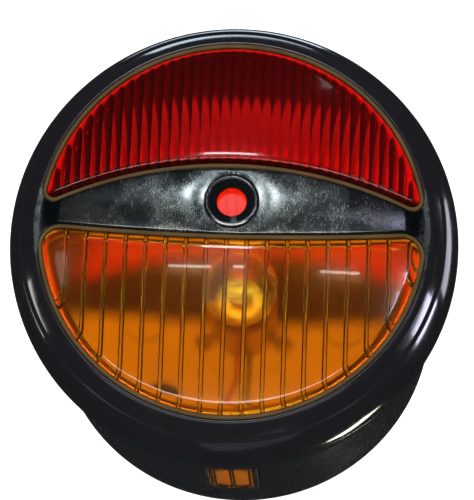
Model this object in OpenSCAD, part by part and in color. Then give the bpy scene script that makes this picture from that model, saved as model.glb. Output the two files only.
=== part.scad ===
// Round two-lens tail and stop lamp. The lamp's axis is Y: the lenses face -Y and the back of the
// rubber mounting pad is the plane y = 0, with its centre at the origin and +Z up.

/* [Bezel] */
// Largest radius of the bezel
bezel_r = 51; // [51:0.5:53]
// Distance from the mounting face to the plane of the bezel's largest radius
bezel_y = 77.5; // [74:0.5:90]
// Thickness of the pressed bezel sheet
sheet = 0.9; // [0.8:0.05:1]
// Radius of the windows' outer arcs
window_r = 43.5; // [43:0.1:43.6]

/* [Windows and crossbar] */
// Height of the crossbar's upper edge above the axis, at the middle
bar_top = 13.1; // [12:0.1:15]
// Depth of the crossbar's lower edge below the axis, at the middle
bar_bottom = 2.4; // [2:0.1:4]
// Radius of the curve of the crossbar's upper edge
bar_top_r = 100; // [90:1:140]
// Radius of the curve of the crossbar's lower edge
bar_bottom_r = 330; // [300:5:400]
// Corner radius of the upper, red window
red_corner_r = 2.8; // [2:0.1:4]
// Corner radius of the lower, amber window
amber_corner_r = 5; // [4:0.1:6]
// Height of the crossbar's round hole above the axis
hole_z = 5; // [4.5:0.1:5.5]
// Radius of the light hole in the eyelet
hole_r = 3.3; // [2.5:0.1:3.5]

/* [Drum] */
// Outer radius of the drum
drum_r = 46.5; // [46:0.1:46.6]
// Thickness of the drum's sheet
drum_sheet = 1.2; // [1:0.1:1.3]
// Radius of the drum's rounded back corner
drum_corner_r = 10; // [8:0.5:12]
// Width of the number-plate window in the drum's underside
slot_w = 12.8; // [10:0.2:14]
// Length of the number-plate window along the drum
slot_l = 34; // [28:1:38]

/* [Mounting] */
// Thickness of the rubber mounting pad
pad = 2.5; // [2:0.1:4]
// Distance between the two mounting studs
stud_spacing = 50; // [44:1:56]
// Radius of a mounting stud
stud_r = 2.5; // [2:0.1:3]
// Length of a mounting stud behind the mounting face
stud_out = 14; // [10:1:20]
// Radius of the cable hole in the grommet
cable_r = 3; // [2:0.1:3.5]

/* [Bulb] */
// Radius of the bulb's brass base
base_r = 7.5; // [7.4:0.05:7.6]
// Radius of the bulb's glass globe
globe_r = 9.2; // [8.5:0.1:10]
// Travel of the bulb against its contact springs
bulb_travel = 1.5; // [1:0.1:1.6]

/* [Hidden] */
$fn = 96;
dome_fn = 240;          // finer steps for the very large radii

// stations along the axis, all measured from the mounting face towards the lenses
rim = -bezel_y;                         // plane of the bezel's largest radius
lip = rim - 13.6;                       // front of the window edges
dome_r = 245;                           // radius of the lenses' and the crossbar's dome
dome_y = lip + sqrt(dome_r * dome_r - window_r * window_r);    // centre of that dome
back_out = -pad;                        // outside of the drum's back wall
back_in = back_out - drum_sheet;        // inside of the drum's back wall
drum_front = rim - 5.5;                 // front edge of the drum
drum_in = drum_r - drum_sheet;
shoulder_r = stud_r + 0.2;              // of a stud, where it passes the drum and the pad
shoulder_out = 0.4;

// bezel section
bead_r = 18.3;                          // curve of the bezel's broad bead
bead_c = bezel_r - bead_r;
bead_end = 10.2;
skirt_r = bezel_r - 0.6;
skirt_l = 8;

// lens stack, as dome radii from the outside in
gasket_t = 0.8;
lens_t = 2.2;
proud = 0.8;                            // how far a lens stands out of its window
lip_gap = 1.0;                          // width of the gasket's lip around a lens
gasket_dome = dome_r - sheet;
flange_dome = gasket_dome - gasket_t;
lens_back = flange_dome - lens_t;
flange_r = 44.7;
split = 0.6;                            // height where the two lenses meet behind the crossbar
split_gap = 0.4;
retainer_y = rim - 9.35;
retainer_t = 1.2;
retainer_r = 46.4;

// crossbar: its front is a slice of a large torus
bar_bulge_r = 40;
bar_front = 0.8;                        // how far the bar stands out in front of the dome
bar_ring_r = dome_r + bar_front - bar_bulge_r;
bar_mid = (bar_top - bar_bottom) / 2;
bar_end_r = 44.6;
bar_apex = dome_y - dome_r - bar_front;
seat_y = bar_apex + 0.45;               // flat seat of the eyelet, sunk into the bar
eyelet_r = 6.2;
eyelet_tube_r = 4.7;

// bayonet fastening of the door
tab_w = 12;                             // degrees
lug_w = 14;
stop_w = 3;
bayonet_angles = [30, 150, 270];
lug_y = rim + 0.6;
lug_l = 3;
tab_y = rim + 4;
tab_t = 1.5;
clip_angles = [0, 90, 180, 270];
clip_w = 9;

// number-plate window
slot_mid = rim + 35;

// socket and bulb
flange_front = back_in - 1.5;
socket_in = base_r + 0.3;
socket_out = socket_in + 1;
insulator_back = back_in - 2.5;
insulator_t = 2.4;
spring_l = 4;
head_t = 1.2;
contact_gap = 0.05;
contact_x = 3.2;
stem_r = 1.1;
plunger_front = insulator_back - insulator_t - spring_l - head_t;
tip_back = plunger_front - contact_gap;
tip_t = 1.05;
base_back = tip_back - tip_t;
base_l = 16;
base_front = base_back - base_l;
pin_y = base_back - 7.6;
socket_front = base_back - 12.6;
globe_y = base_back - 24;
filament_y = globe_y;
glass_bead_r = 2.9;                     // glass bead that holds the filament wires
screw_ring = 11.3;
screw_angles = [90, 210, 330];

// terminals and leads
block_z = -31;
block_w = 24;
block_h = 7;
block_d = 6;
terminal_x = [-7, 0, 7];
grommet_x = -20;
grommet_z = -22;
lead_r = 0.6;
lead_y = back_in - 0.75;
lead_end = block_z + block_h / 2 + 0.1;
lead_start_y = insulator_back + 1.22;
tail_route = [[-contact_x, lead_start_y, -1.85], [-3, lead_y, -3.6], [-1.5, lead_y, -7],
    [-1.5, lead_y, -15], [-4, lead_y, -21], [-7, lead_y, -25], [-7, lead_y, lead_end]];
stop_route = [[contact_x, lead_start_y, -1.85], [3, lead_y, -3.6], [1.5, lead_y, -7],
    [1.5, lead_y, -15], [1, lead_y, -21], [0, lead_y, -25], [0, lead_y, lead_end]];
earth_route = [[16, lead_y, -22.4], [13.5, lead_y, -24.4], [9, lead_y, -25.4],
    [7.3, lead_y, -26.3], [7, lead_y, lead_end]];

// ---------------------------------------------------------------- helpers

// turns a section, drawn as [radius, y], about the lamp's axis
module turned() { rotate([-90, 0, 0]) rotate_extrude() children(); }

// the same over a sector, centred on an angle counted anticlockwise from +X as seen from the front
module turned_sector(middle, width) {
    rotate([0, -middle, 0]) rotate([-90, 0, 0]) rotate([0, 0, -width / 2])
        rotate_extrude(angle = width) children();
}

// rectangle of a section, from radius r0 to r1 and from y0 to y1
module block2(r0, r1, y0, y1) {
    translate([r0, min(y0, y1)]) square([r1 - r0, abs(y1 - y0)]);
}

// extrudes a face drawn as [x, z] from y0 forward to y1
module facing(y0, y1) { translate([0, y0, 0]) rotate([90, 0, 0]) linear_extrude(y0 - y1) children(); }

// cylinder along Y from y0 forward to y1
module rod(r, y0, y1, x = 0, z = 0) {
    translate([x, y1, z]) rotate([-90, 0, 0]) cylinder(r = r, h = y0 - y1);
}

module tube(r1, r0, y0, y1, x = 0, z = 0) {
    difference() {
        rod(r1, y0, y1, x, z);
        rod(r0, y0 + 1, y1 - 1, x, z);
    }
}

function arc(c, r, a0, a1, n) =
    [for (i = [0:n]) let (a = a0 + (a1 - a0) * i / n) c + r * [cos(a), sin(a)]];

// outline of a window above the crossbar: a round outer edge, a crossbar edge that is an arc too,
// and two rounded corners; a positive inset shrinks it, a negative one grows it
function window_outline(edge_z, edge_r, corner_r, inset = 0) =
    let (R = window_r - inset, B = edge_r + inset, f = corner_r - inset, zc = edge_z - edge_r,
        fz = ((R - f) * (R - f) + zc * zc - (B + f) * (B + f)) / (2 * zc),
        fx = sqrt((R - f) * (R - f) - fz * fz), a = atan2(fz, fx), b = atan2(fz - zc, fx))
    concat(arc([0, 0], R, a, 180 - a, 48), arc([-fx, fz], f, 180 - a, 360 - b, 10),
        arc([0, zc], B, 180 - b, b, 24), arc([fx, fz], f, 180 + b, 360 + a, 10));

module red_outline(inset = 0) { polygon(window_outline(bar_top, bar_top_r, red_corner_r, inset)); }

module amber_outline(inset = 0) {
    mirror([0, 1]) polygon(window_outline(bar_bottom, bar_bottom_r, amber_corner_r, inset));
}

module dome(r) { translate([0, dome_y, 0]) sphere(r = r, $fn = dome_fn); }

// keeps the part of a face's extrusion that lies between two domes
module domed(r_out, r_in) {
    difference() {
        intersection() {
            facing(rim, rim - 25) children();
            dome(r_out);
        }
        dome(r_in);
    }
}

module bar_torus(r) {
    translate([0, dome_y, 0]) rotate_extrude($fn = dome_fn)
        translate([bar_ring_r, bar_mid]) circle(r = r);
}

// the strip between the two windows' crossbar edges, out to a radius
module bar_outline(r, grow = 0) {
    intersection() {
        circle(r = r);
        translate([0, bar_top - bar_top_r]) circle(r = bar_top_r + grow, $fn = dome_fn);
        translate([0, bar_bottom_r - bar_bottom]) circle(r = bar_bottom_r + grow, $fn = dome_fn);
    }
}

// a slot with round ends, standing for the number-plate window and drawn as [x, y]
module slot_outline(grow) {
    w = slot_w / 2 + grow;
    l = slot_l / 2 + grow;
    translate([0, slot_mid]) {
        square([2 * w, 2 * (l - w)], center = true);
        for (side = [-1, 1]) translate([0, side * (l - w)]) circle(r = w);
    }
}

// keeps the part of that slot that lies between two radii, in the drum's underside
module slot_shell(grow, r_out, r_in) {
    difference() {
        intersection() {
            translate([0, 0, -r_out - 5]) linear_extrude(r_out - r_in + 15) slot_outline(grow);
            rod(r_out, slot_mid + slot_l, slot_mid - slot_l);
        }
        rod(r_in, slot_mid + slot_l + 1, slot_mid - slot_l - 1);
    }
}

// sweeps a round tube along points; up is never parallel to the path
function unit(v) = v / norm(v);
function tangent(p, i) = unit(p[min(i + 1, len(p) - 1)] - p[max(i - 1, 0)]);
module sweep(p, r, sides, up) {
    rings = [for (i = [0:len(p) - 1])
        let (t = tangent(p, i), n = unit(cross(up, t)), m = cross(t, n))
        for (j = [0:sides - 1]) p[i] + r * (cos(360 * j / sides) * n + sin(360 * j / sides) * m)];
    walls = [for (i = [0:len(p) - 2], j = [0:sides - 1], half = [0, 1])
        let (k = (j + 1) % sides, a = i * sides)
        half == 0 ? [a + j, a + sides + j, a + sides + k] : [a + j, a + sides + k, a + k]];
    near = [for (j = [0:sides - 1]) j];
    far = [for (j = [sides - 1:-1:0]) (len(p) - 1) * sides + j];
    polyhedron(rings, concat(walls, [near, far]), convexity = 6);
}

// points of a helix along Y, from y0 forward
function helix(x, y0, z, r, pitch, turns, steps) =
    [for (i = [0:turns * steps]) let (a = 360 * i / steps)
        [x + r * cos(a), y0 - pitch * i / steps, z + r * sin(a)]];

// ---------------------------------------------------------------- drum

module drum() {
    color("#101114") difference() {
        turned() drum_section(drum_r, back_out, drum_corner_r);
        turned() drum_section(drum_in, back_in, drum_corner_r - drum_sheet);
        translate([0, 0, -drum_r - 5]) linear_extrude(20) slot_outline(0);
        for (side = [-1, 1]) rod(shoulder_r + 0.02, 1, back_in - 1, side * stud_spacing / 2);
        rod(cable_r + 1.4, 1, back_in - 1, grommet_x, grommet_z);
        for (a = screw_angles) rod(1.2, 1, back_in - 1, screw_ring * cos(a), screw_ring * sin(a));
    }
}

// the drum's half section, from its front edge to a rounded back corner; the front is left open
module drum_section(r, back, corner) {
    front = r == drum_r ? drum_front : drum_front - 1;
    block2(0, r, front, back - corner);
    block2(0, r - corner, back - corner, back);
    translate([r - corner, back - corner]) intersection() {
        circle(r = corner);
        square(corner);
    }
}

// three lugs on the drum's neck, each with a stop at one end
module bayonet_lugs() {
    color("#15161a") for (a = bayonet_angles) {
        turned_sector(a, lug_w) block2(drum_r, drum_r + 2.1, lug_y, lug_y + lug_l);
        turned_sector(a - lug_w / 2 - stop_w / 2, stop_w + 1)
            block2(drum_r, drum_r + 2.1, lug_y, tab_y + tab_t + 0.6);
    }
}

module plate_window() {
    color("#e0a83a") {
        slot_shell(-0.7, drum_r + 0.3, drum_in - 0.6);
        slot_shell(2.2, drum_in - 0.6, drum_in - 2.4);
    }
}

module plate_gasket() {
    color("#2a2622") {
        difference() {
            slot_shell(2.2, drum_in, drum_in - 0.6);
            slot_shell(-0.7, drum_in + 1, drum_in - 2);
        }
        difference() {
            slot_shell(-0.05, drum_r + 0.1, drum_in);
            slot_shell(-0.7, drum_r + 1, drum_in - 1);
        }
    }
}

// spring frame that presses the number-plate window outwards, with a foot at each side
module plate_clip() {
    edge = slot_w / 2 + 2.2;
    foot_z = 0.03 - sqrt(pow(drum_in, 2) - pow(edge + 1.1, 2));
    strap_z = 0.08 - sqrt(pow(drum_in - 2.4, 2) - pow(edge, 2));
    color("#9a9c9e") {
        difference() {
            slot_shell(2.2, drum_in - 2.4, drum_in - 3.1);
            slot_shell(-0.4, drum_in, drum_in - 5);
        }
        for (side = [0, 1]) mirror([side, 0, 0]) {
            translate([edge + 0.3, slot_mid - 5, foot_z]) cube([0.8, 10, strap_z - foot_z + 0.62]);
            translate([edge - 0.6, slot_mid - 4.8, strap_z]) cube([1.3, 9.6, 0.58]);
        }
    }
}

// ---------------------------------------------------------------- mounting

module mounting_studs() {
    color("#8d9094") for (side = [-1, 1]) {
        x = side * stud_spacing / 2;
        rod(stud_r, stud_out, 0, x);
        rod(shoulder_r, shoulder_out, back_in, x);
        rod(stud_r + 3, back_in, back_in - 2.4, x);
    }
}

module mounting_pad() {
    color("#1a1a1a") difference() {
        rod(38, 0, back_out);
        for (side = [-1, 1]) rod(shoulder_r + 0.1, 1, back_out - 1, side * stud_spacing / 2);
        rod(cable_r + 3, 1, back_out - 1, grommet_x, grommet_z);
        for (a = screw_angles) rod(2, 1, back_out - 1, screw_ring * cos(a), screw_ring * sin(a));
    }
}

// grommet with a groove that holds the drum's back wall
module cable_grommet() {
    color("#202020") difference() {
        union() {
            rod(cable_r + 1.36, -0.1, back_in - 1.8, grommet_x, grommet_z);
            rod(cable_r + 2.8, -0.3, back_out, grommet_x, grommet_z);
            rod(cable_r + 2.8, back_in, back_in - 1.8, grommet_x, grommet_z);
        }
        rod(cable_r, 1, back_in - 3, grommet_x, grommet_z);
    }
}

// ---------------------------------------------------------------- socket

module notch_of_leads(y0, y1) {
    translate([-3.5, y1, -16]) cube([7, y0 - y1, 12]);
}

module socket_flange() {
    color("#b9a268") difference() {
        rod(14, back_in, flange_front);
        rod(6.2, back_in + 1, flange_front - 1);
        notch_of_leads(back_in + 1, flange_front - 0.001);
        for (a = screw_angles) rod(1.6, 1, flange_front - 1, screw_ring * cos(a), screw_ring * sin(a));
    }
}

// bulb holder with two J-shaped slots for the bulb's pins
module socket_shell() {
    color("#c2a35c") difference() {
        tube(socket_out, socket_in, flange_front, socket_front);
        for (side = [0, 180]) rotate([0, side, 0]) {
            translate([0, socket_front - 1, -1.35]) cube([12, pin_y - socket_front + 2.6 + bulb_travel, 2.7]);
            translate([0, pin_y - 1.35, -1.35]) cube([12, 2.7 + bulb_travel, 5.6]);
        }
    }
}

module socket_screws() {
    color("#c8c8c4") for (a = screw_angles) {
        x = screw_ring * cos(a);
        z = screw_ring * sin(a);
        rod(1.2, -0.8, flange_front, x, z);
        difference() {
            rod(2.3, flange_front, flange_front - 1.4, x, z);
            translate([x - 3, flange_front - 2, z - 0.3]) cube([6, 1.2, 0.6]);
        }
    }
}

module socket_insulator() {
    color("#6b3b22") difference() {
        rod(socket_in, insulator_back, insulator_back - insulator_t);
        for (side = [-1, 1])
            rod(stem_r + 0.25, insulator_back + 1, insulator_back - insulator_t - 1, side * contact_x);
    }
}

module contact_eyelets() {
    color("#c9a24a") for (side = [-1, 1])
        tube(2.2, stem_r + 0.25, insulator_back + 0.6, insulator_back, side * contact_x);
}

module contact_plungers() {
    color("#d0a850") for (side = [-1, 1]) {
        rod(stem_r, insulator_back + 0.3, plunger_front + head_t, side * contact_x);
        rod(1.9, plunger_front + head_t, plunger_front, side * contact_x);
    }
}

module contact_springs() {
    wire = 0.2;
    turns = 4;
    span = spring_l - 2 * wire - 0.1;
    color("#b8bcc0") for (side = [-1, 1])
        sweep(helix(side * contact_x, insulator_back - insulator_t - wire - 0.05, 0, 1.55,
            span / turns, turns, 12), wire, 6, [0, 1, 0]);
}

// ---------------------------------------------------------------- terminals and leads

module terminal_block() {
    color("#4a2c1c") difference() {
        translate([-block_w / 2, back_in - block_d, block_z - block_h / 2])
            cube([block_w, block_d, block_h]);
        for (x = terminal_x) {
            rod(1.3, back_in - 1.8, back_in - block_d - 1, x, block_z);
            translate([x - 1.2, back_in - 1.9, block_z]) cube([2.4, 2.4, block_h]);
        }
    }
}

module terminal_screws() {
    color("#cfae5a") for (x = terminal_x) {
        rod(1.3, back_in - 1.8, back_in - block_d, x, block_z);
        difference() {
            rod(2.2, back_in - block_d, back_in - block_d - 1.5, x, block_z);
            translate([x - 3, back_in - block_d - 2, block_z - 0.3]) cube([6, 1.2, 0.6]);
        }
    }
}

module earth_tag() {
    color("#c9a24a") translate([14.6, back_in - 0.5, -21.8]) {
        difference() {
            translate([0, 0, 0]) cube([5, 0.5, 5]);
            translate([2.5, 1, 2.5]) rotate([90, 0, 0]) cylinder(r = 0.9, h = 3);
        }
        translate([2.5, 0, 2.5]) rotate([90, 0, 0]) cylinder(r = 1.6, h = 0.7);
    }
}

module tail_lead() { color("#8c2f22") sweep(tail_route, lead_r, 8, [0.2, 0.1, 1]); }

module stop_lead() { color("#26486e") sweep(stop_route, lead_r, 8, [0.2, 0.1, 1]); }

module earth_lead() { color("#1d1d1d") sweep(earth_route, lead_r, 8, [0.1, 1, 0.1]); }

// ---------------------------------------------------------------- door

// one closed outline: back skirt, small rolled bead, broad bead, crease, conical flange and the
// flat edge around the windows, then back along the inside
module bezel_section() {
    bead_a = asin(bead_end / bead_r);
    inner_r = bead_r - sheet;
    inner_a = asin((bead_end - sheet) / inner_r);
    polygon(concat([[skirt_r - sheet, rim + skirt_l], [skirt_r, rim + skirt_l], [skirt_r, rim + 1.6],
        [bezel_r, rim + 1.6]], arc([bead_c, rim], bead_r, 0, -bead_a, 20),
        [[47.4, rim - 10.5], [45.3, rim - 13.1], [44.7, rim - 13.6], [41, rim - 13.6], [41, rim - 12.7],
        [45, rim - 12.7], [46.6, rim - 10.6]], arc([bead_c, rim], inner_r, -inner_a, 0, 20),
        [[skirt_r - sheet, rim]]));
}

module bezel() {
    color("#0c0d10") difference() {
        turned() bezel_section();
        facing(rim, rim - 20) red_outline();
        facing(rim, rim - 20) amber_outline();
        facing(rim, rim - 20) bar_outline(bar_end_r, 0.06);
    }
}

module crossbar() {
    color("#c9cbce") difference() {
        union() {
            difference() {
                intersection() {
                    facing(rim - 5, rim - 25) bar_outline(bar_end_r);
                    bar_torus(bar_bulge_r);
                }
                bar_torus(bar_bulge_r - sheet);
            }
            // feet that reach down to the bezel's edge
            intersection() {
                facing(rim - 12.7, rim - 25) difference() {
                    bar_outline(bar_end_r);
                    circle(r = bar_end_r - 1.2);
                }
                bar_torus(bar_bulge_r - sheet / 2);
            }
        }
        rod(eyelet_tube_r, rim, rim - 30, 0, hole_z);
        rod(eyelet_r + 0.05, seat_y, rim - 30, 0, hole_z);
    }
}

module eyelet() {
    color("#3a3d42") translate([0, 0, hole_z]) turned()
        polygon([[hole_r, bar_apex + 1.6], [hole_r, bar_apex + 0.3], [5, bar_apex - 0.7],
            [5.9, bar_apex - 0.7], [eyelet_r, bar_apex - 0.4], [eyelet_r, seat_y],
            [eyelet_tube_r - 0.04, seat_y], [eyelet_tube_r - 0.04, bar_apex + 1.6]]);
}

// half disc behind the crossbar, above or below the line where the lenses meet
module lens_half(r, upper) {
    intersection() {
        circle(r = r);
        translate([-r, upper ? split : split - split_gap - 2 * r]) square(2 * r);
    }
}

module red_lens() {
    color("#a3121a") union() {
        domed(dome_r + proud, flange_dome - 0.5) red_outline(lip_gap);
        domed(flange_dome, lens_back) lens_half(flange_r, true);
    }
}

module amber_lens() {
    color("#e08a1e") union() {
        domed(dome_r + proud, flange_dome - 0.5) amber_outline(lip_gap);
        domed(flange_dome, lens_back) lens_half(flange_r, false);
    }
}

// room for the bezel's flat edge, outside a window
module bezel_edge() {
    facing(rim - 12.62, lip - 2) difference() {
        circle(r = 46);
        circle(r = 40.8);
        children();
    }
}

// flat ring behind the bezel's edge, and a lip between the window's edge and the lens
module red_gasket() {
    color("#6f5f3c") {
        difference() {
            domed(gasket_dome, flange_dome) difference() {
                intersection() {
                    circle(r = flange_r);
                    red_outline(-2);
                }
                red_outline(lip_gap);
            }
            bezel_edge() red_outline(0.04);
        }
        domed(dome_r + 0.25, gasket_dome) difference() {
            red_outline(0.04);
            red_outline(lip_gap);
        }
    }
}

module amber_gasket() {
    color("#6f5f3c") {
        difference() {
            domed(gasket_dome, flange_dome) difference() {
                intersection() {
                    circle(r = flange_r);
                    amber_outline(-2);
                }
                amber_outline(lip_gap);
            }
            bezel_edge() amber_outline(0.04);
        }
        domed(dome_r + 0.25, gasket_dome) difference() {
            amber_outline(0.04);
            amber_outline(lip_gap);
        }
    }
}

// ring and strap that press both lenses forward
module lens_retainer() {
    color("#a7a9ab") {
        difference() {
            turned() block2(41.5, retainer_r, retainer_y, retainer_y + retainer_t);
            facing(rim, rim - 12) translate([-50, -1.6]) square([100, 2.8]);
        }
        domed(lens_back - 0.03, lens_back - 0.83) intersection() {
            circle(r = retainer_r);
            translate([-50, -1.6]) square([100, 2.8]);
        }
    }
}

module retainer_clips() {
    foot = retainer_y + retainer_t;
    color("#8f9194") for (a = clip_angles) turned_sector(a, clip_w) {
        block2(45.4, 47.6, foot, foot + 0.8);
        intersection() {
            difference() {
                translate([bead_c, rim]) circle(r = bead_r - sheet - 0.06, $fn = dome_fn);
                translate([bead_c, rim]) circle(r = bead_r - sheet - 0.86, $fn = dome_fn);
            }
            block2(46, 52, foot, rim - 4);
        }
    }
}

module door_tabs() {
    color("#15161a") for (a = bayonet_angles) turned_sector(a, tab_w)
        block2(drum_r + 0.8, skirt_r - sheet, tab_y, tab_y + tab_t);
}

// rubber ring between the retainer and the drum's front edge, notched for the clips
module door_seal() {
    color("#1c1a18") difference() {
        turned() block2(44.2, 46.2, retainer_y + retainer_t, drum_front - 0.1);
        for (a = clip_angles) turned_sector(a, clip_w + 1)
            block2(45.2, 47, retainer_y, drum_front + 1);
    }
}

// ---------------------------------------------------------------- bulb

module bulb_glass() {
    neck_r = 6.4;
    wall = 0.5;
    color("#e8e8e0") difference() {
        turned() {
            block2(0, neck_r, globe_y + 4, base_front + 2);
            intersection() {
                translate([0, globe_y]) circle(r = globe_r);
                block2(0, globe_r + 1, globe_y + 10, globe_y - 10);
            }
        }
        turned() {
            block2(0, neck_r - wall, globe_y + 4, base_front + 3);
            intersection() {
                translate([0, globe_y]) circle(r = globe_r - wall);
                block2(0, globe_r + 1, globe_y + 10, globe_y - 10);
            }
        }
    }
}

module bulb_base() {
    color("#c8a45a") tube(base_r, base_r - 0.5, base_back - 0.8, base_front);
}

module bulb_insulator() {
    color("#20242a") rod(base_r - 0.5, base_back - 0.1, base_back - 2.4);
    color("#20242a") rod(base_r - 0.9, base_back, base_back - 0.1);
}

module bulb_pins() {
    color("#c8a45a") for (side = [0, 180]) rotate([0, side, 0])
        translate([base_r, pin_y, 0]) rotate([0, 90, 0]) cylinder(r = 1, h = 1.6);
}

module bulb_contacts() {
    color("#b9bcc0") for (side = [-1, 1])
        rod(1.7, tip_back, base_back, side * contact_x);
}

// glass foot that carries the filament wires
module filament_stem() {
    color("#dfe4e4") turned() polygon([[0, base_front + 2.2], [6.95, base_front + 2.2], [6.95, base_front + 2.8],
        [0, base_front + 2.8]]);
    color("#dfe4e4") rod(1.6, base_front + 2.2, base_front - 3.5);
    color("#dfe4e4") rod(glass_bead_r, base_front - 3.5, base_front - 4.3);
}

module filament_supports() {
    color("#a9adb0") for (post = [[-1.1, -3.1, 1.6], [-1.1, 3.1, 1.6], [1.1, -3.1, -1.6], [1.1, 3.1, -1.6]])
        hull() {
            translate([post[0] * 1.4, base_front - 4.54, post[2] * 0.9]) sphere(r = 0.22, $fn = 12);
            translate([post[1], filament_y + 0.1, post[2]]) sphere(r = 0.22, $fn = 12);
        }
}

module filament(z) {
    turns = 12;
    color("#d8d0b0") rotate([0, 0, -90]) translate([0, 0, z])
        sweep([for (p = helix(0, 0, 0, 0.45, 5.4 / turns, turns, 8)) p - [filament_y - 0.1, -2.7, 0]],
            0.11, 5, [1, 0.03, 0.01]);
}

module tail_filament() { filament(1.6); }

module stop_filament() { filament(-1.6); }

drum();
bayonet_lugs();
plate_window();
plate_gasket();
plate_clip();
mounting_studs();
mounting_pad();
cable_grommet();
socket_flange();
socket_shell();
socket_screws();
socket_insulator();
contact_eyelets();
contact_plungers();
contact_springs();
terminal_block();
terminal_screws();
earth_tag();
tail_lead();
stop_lead();
earth_lead();
bezel();
crossbar();
eyelet();
red_lens();
amber_lens();
red_gasket();
amber_gasket();
lens_retainer();
retainer_clips();
door_tabs();
door_seal();
bulb_glass();
bulb_base();
bulb_pins();
bulb_insulator();
bulb_contacts();
filament_stem();
filament_supports();
tail_filament();
stop_filament();
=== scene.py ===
"""Looks of a round two-lens tail and stop lamp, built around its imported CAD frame.

The lamp's axis is Y, its lenses face -Y and +Z is up. Shapes are worked out in millimetres and
turned into metres where each mesh is made.
"""
import math

import bmesh
import bpy
from mathutils import Matrix, Vector


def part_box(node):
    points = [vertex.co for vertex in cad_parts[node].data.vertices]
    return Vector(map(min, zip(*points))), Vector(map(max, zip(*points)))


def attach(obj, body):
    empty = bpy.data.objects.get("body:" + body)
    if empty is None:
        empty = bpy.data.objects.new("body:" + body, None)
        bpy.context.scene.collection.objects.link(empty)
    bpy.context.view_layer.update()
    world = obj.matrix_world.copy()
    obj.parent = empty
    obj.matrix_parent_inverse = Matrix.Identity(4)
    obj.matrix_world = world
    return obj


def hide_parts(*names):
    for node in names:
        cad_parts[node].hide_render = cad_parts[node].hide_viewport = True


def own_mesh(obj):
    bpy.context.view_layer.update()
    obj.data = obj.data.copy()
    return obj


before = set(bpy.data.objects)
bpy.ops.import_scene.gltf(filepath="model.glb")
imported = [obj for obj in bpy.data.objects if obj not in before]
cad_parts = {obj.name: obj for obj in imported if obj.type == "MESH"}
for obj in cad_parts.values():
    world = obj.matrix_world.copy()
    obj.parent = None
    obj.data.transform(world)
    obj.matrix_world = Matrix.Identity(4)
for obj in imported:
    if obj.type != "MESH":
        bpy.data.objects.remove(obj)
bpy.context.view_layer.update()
MM = 0.001


def cad(node):
    """Lowest and highest corners of a CAD node, in millimetres."""
    low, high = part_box(node)
    return low / MM, high / MM


# ------------------------------------------------------------------ stations from the frame

bezel_low, bezel_high = cad("bezel")
drum_low, drum_high = cad("drum")
glass_low, glass_high = cad("bulb_glass")
slot_low, slot_high = cad("plate_window")
eyelet_low, eyelet_high = cad("eyelet")

BEZEL_R = bezel_high.x
LIP = bezel_low.y                      # front of the window edges
RIM = LIP + 13.6                       # plane of the bezel's largest radius
SHEET = 0.9                            # sheet metal of the door
WINDOW_R = 43.5                        # round edge of both windows
DOME_R = 245.0                         # dome of the lenses and the crossbar
DOME_Y = LIP + math.sqrt(DOME_R ** 2 - WINDOW_R ** 2)
DRUM_R = drum_high.x
DRUM_SHEET = 1.2
DRUM_CORNER = 10.0
DRUM_FRONT = drum_low.y
DRUM_BACK = drum_high.y
SLOT_HALF_W = 6.4                      # number-plate window
SLOT_HALF_L = 17.0
SLOT_MID = (slot_low.y + slot_high.y) / 2
HOLE_Z = (eyelet_low.z + eyelet_high.z) / 2
LENS_PROUD = 0.8                       # how far a lens stands out of its window
LENS_BACK = SHEET + 0.8 + 2.2          # from the bezel's dome to the back of a lens
LENS_INSET = 0.95                      # gap for the gasket round a lens
BAR_BULGE_R = 40.0                     # crossbar's curve from its top to its bottom edge
BAR_FRONT = DOME_Y - DOME_R - eyelet_low.y - 0.7
BAR_END_R = 44.3
BAR_TOP_Z = 13.1                       # highest and lowest z of the crossbar on the lamp's axis
BAR_BOTTOM_Z = -2.4
EYELET_R = 6.2
EYELET_TUBE_R = 4.66
BEAD_R = 18.3                          # curve of the bezel's broad bead
AMBER_PITCH = 4.48                     # ribs on the backs of the lenses
AMBER_SHIFT = 0.9
AMBER_RIB_HALF = 0.52
RED_PITCH = 2.22
STUD_X = 25.0                          # studs, holder screws and cable, as they pass the pad
STUD_R = 2.5
SCREW_CIRCLE = 11.3


def dome(x, z, proud=0.0):
    """y of the door's domed front, or of a dome that stands proud of it."""
    return DOME_Y - math.sqrt((DOME_R + proud) ** 2 - x * x - z * z)


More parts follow.
